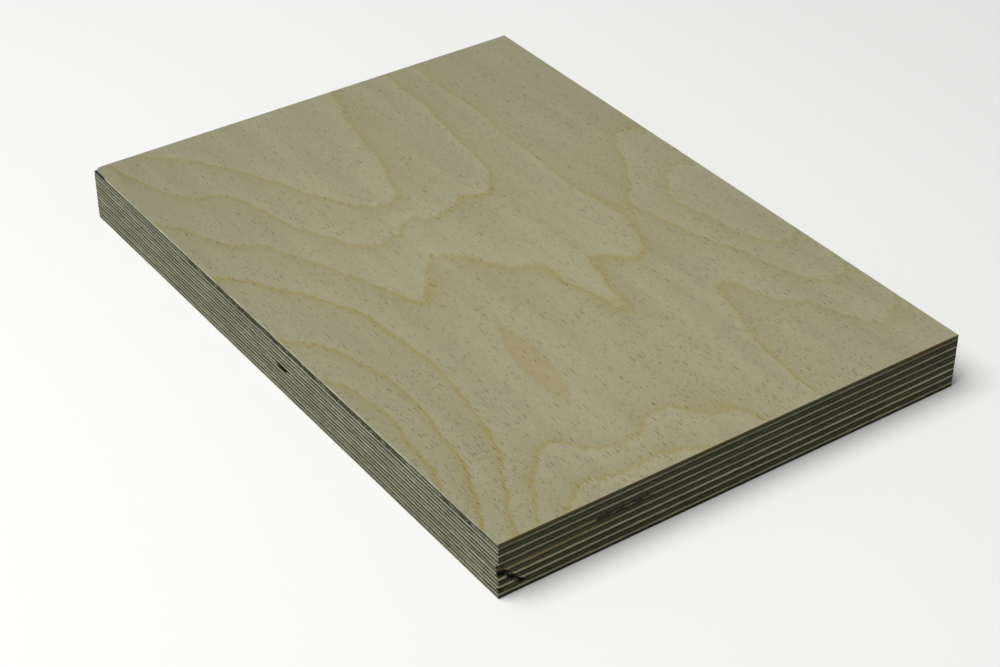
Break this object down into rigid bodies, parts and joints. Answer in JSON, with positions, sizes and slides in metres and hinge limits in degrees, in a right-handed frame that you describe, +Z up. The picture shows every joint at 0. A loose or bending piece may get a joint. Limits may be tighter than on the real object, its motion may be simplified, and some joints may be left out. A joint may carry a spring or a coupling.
{
  "type": "plywood sheet",
  "caption": "Flat rectangular sample sheet of birch plywood: crossed veneer plies under thin sanded faces, with square sawn edges.",
  "frame": {"origin": "middle of the underside, on the surface that the sheet lies on", "axes": "+Z up through the thickness, +Y along the face grain and the sheet's length, +X across the face grain"},
  "size_m": [0.185, 0.26, 0.021],
  "materials": {
    "birch_face_veneer": "sanded, unfinished",
    "birch_long_core": "sawn edge",
    "birch_crossband": "sawn edge"
  },
  "bodies": {
    "root": {"ply_01_face": "birch_face_veneer", "ply_02_cross": "birch_crossband", "ply_03_long": "birch_long_core", "ply_04_cross": "birch_crossband", "ply_05_long": "birch_long_core", "ply_06_cross": "birch_crossband", "ply_07_long": "birch_long_core", "ply_08_cross": "birch_crossband", "ply_09_long": "birch_long_core", "ply_10_cross": "birch_crossband", "ply_11_long": "birch_long_core", "ply_12_cross": "birch_crossband", "ply_13_long": "birch_long_core", "ply_14_cross": "birch_crossband", "ply_15_back": "birch_face_veneer"}
  },
  "joints": []
}
